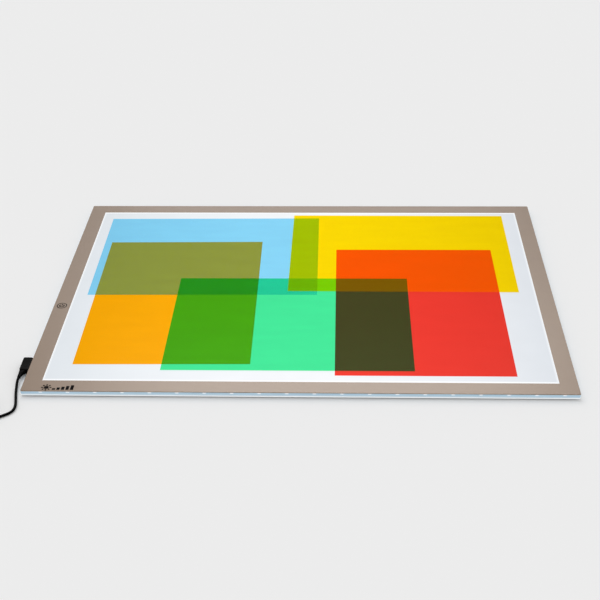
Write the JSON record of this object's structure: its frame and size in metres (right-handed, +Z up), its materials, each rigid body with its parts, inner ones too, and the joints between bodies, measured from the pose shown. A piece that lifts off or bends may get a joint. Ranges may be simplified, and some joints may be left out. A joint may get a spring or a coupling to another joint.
{
  "type": "light box",
  "caption": "Thin edge-lit light panel with a taupe border, clear edges, touch switch, loose translucent colour films and a plug-in power lead.",
  "frame": {"origin": "on the surface the panel stands on, under the middle of the panel", "axes": "+X along the long side, +Y from the front edge to the rear, +Z up out of the lit face; the power socket is on the -X side near the front"},
  "size_m": [0.7208, 0.5166, 0.0149],
  "materials": {
    "border_taupe": "satin printed taupe",
    "opal_window": "opal white, lit from inside, slightly cool",
    "clear_edge": "clear acrylic edge, glowing with stray light",
    "light_guide_clear": "clear acrylic with printed dots underneath",
    "white_plastic": "fine textured white plastic",
    "reflector_white": "matte white film",
    "led_strip_white": "white solder mask with light sources",
    "board_green": "green solder mask",
    "chip_black": "moulded epoxy",
    "connector_cream": "moulded nylon",
    "copper": "bare copper foil",
    "steel": "nickel-plated",
    "wire_red": "insulated wire",
    "rubber_black": "matte moulded rubber",
    "plug_black": "overmoulded, lightly textured",
    "cord_black": "smooth jacket with a slight sheen",
    "tie_black": "woven hook-and-loop strap",
    "film_blue": "clear coloured film",
    "film_red": "clear coloured film",
    "film_yellow": "clear coloured film",
    "film_orange": "clear coloured film",
    "film_green": "clear coloured film"
  },
  "bodies": {
    "panel": {"base_plate": "white_plastic", "base_screw_01": "steel", "base_screw_02": "steel", "base_screw_03": "steel", "base_screw_04": "steel", "base_screw_05": "steel", "base_screw_06": "steel", "base_screw_07": "steel", "base_screw_08": "steel", "base_screw_09": "steel", "base_screw_10": "steel", "boost_inductor": "chip_black", "border_overlay": "border_taupe", "control_board": "board_green", "diffuser": "opal_window", "driver_chip": "chip_black", "edge_rail_front": "clear_edge", "edge_rail_left_front": "clear_edge", "edge_rail_left_rear": "clear_edge", "edge_rail_rear": "clear_edge", "edge_rail_right": "clear_edge", "input_connector": "connector_cream", "led_strip_front": "led_strip_white", "led_strip_rear": "led_strip_white", "light_guide": "light_guide_clear", "output_capacitor": "connector_cream", "power_socket": "steel", "reflector_sheet": "reflector_white", "rubber_foot_1": "rubber_black", "rubber_foot_2": "rubber_black", "rubber_foot_3": "rubber_black", "rubber_foot_4": "rubber_black", "rubber_foot_5": "rubber_black", "rubber_foot_6": "rubber_black", "socket_lead": "wire_red", "socket_tongue": "chip_black", "strip_connector": "connector_cream", "strip_lead_front": "wire_red", "strip_lead_rear": "wire_red", "touch_chip": "chip_black", "touch_pad": "copper", "touch_spring": "steel"},
    "lead": {"plug_body": "plug_black", "plug_relief": "plug_black", "plug_shell": "steel", "cord": "cord_black", "cord_tail": "cord_black", "cord_coil": "cord_black", "cord_tie": "tie_black", "far_relief": "plug_black", "far_body": "plug_black", "far_shell": "steel", "far_tongue": "chip_black"},
    "blue_film": {"film_blue": "film_blue"},
    "red_film": {"film_red": "film_red"},
    "yellow_film": {"film_yellow": "film_yellow"},
    "orange_film": {"film_orange": "film_orange"},
    "green_film": {"film_green": "film_green"}
  },
  "joints": [
    {"name": "lead_unplug", "type": "slide", "parent": "panel", "child": "lead", "axis": [-1, 0, 0], "range_m": [0, 0.012]},
    {"name": "blue_film_slide", "type": "slide", "parent": "panel", "child": "blue_film", "axis": [0, 1, 0], "range_m": [0, 0.12]},
    {"name": "red_film_slide", "type": "slide", "parent": "panel", "child": "red_film", "axis": [1, 0, 0], "range_m": [0, 0.12]},
    {"name": "yellow_film_slide", "type": "slide", "parent": "panel", "child": "yellow_film", "axis": [0, 1, 0], "range_m": [0, 0.12]},
    {"name": "orange_film_slide", "type": "slide", "parent": "panel", "child": "orange_film", "axis": [0, -1, 0], "range_m": [0, 0.12]},
    {"name": "green_film_slide", "type": "slide", "parent": "panel", "child": "green_film", "axis": [0, -1, 0], "range_m": [0, 0.12]}
  ]
}
